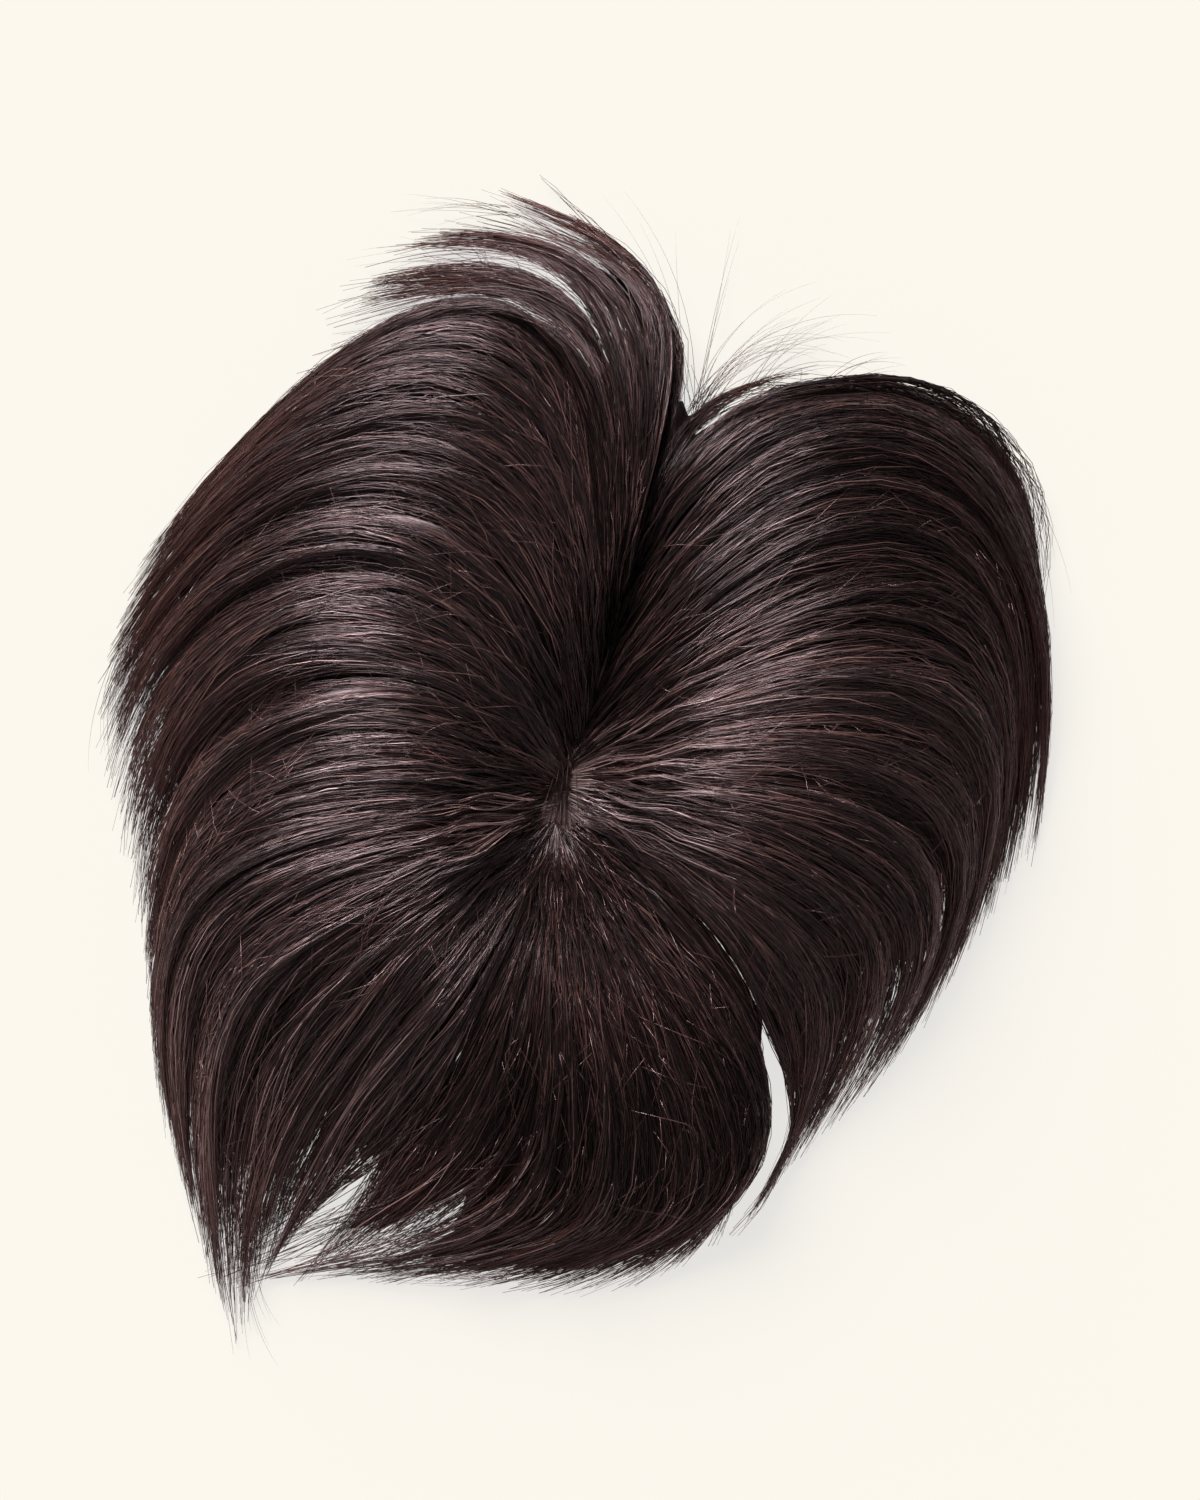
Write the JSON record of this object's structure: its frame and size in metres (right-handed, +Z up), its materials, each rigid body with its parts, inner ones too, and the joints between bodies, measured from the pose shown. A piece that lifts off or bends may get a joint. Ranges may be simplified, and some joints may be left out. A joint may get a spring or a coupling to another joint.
{
  "type": "hair topper",
  "caption": "Clip-in hair topper of dark brown straight hair, fanning from a crown whorl into curved locks, lying on a table.",
  "frame": {"origin": "centre of the footprint's box, on the table", "axes": "+Y towards the forehead end, +X to the wearer's right as seen from above, +Z up from the table"},
  "size_m": [0.3158, 0.3734, 0.0412],
  "materials": {
    "hair": "fine straight strands with a soft sheen",
    "base": "fine matt mesh",
    "clip": "satin"
  },
  "bodies": {
    "root": {"base_cap": "base", "hair_front_lock": "hair", "hair_left": "hair", "hair_back": "hair", "hair_right": "hair", "clip_front": "clip", "clip_left": "clip", "clip_back": "clip", "clip_right": "clip"}
  },
  "joints": []
}
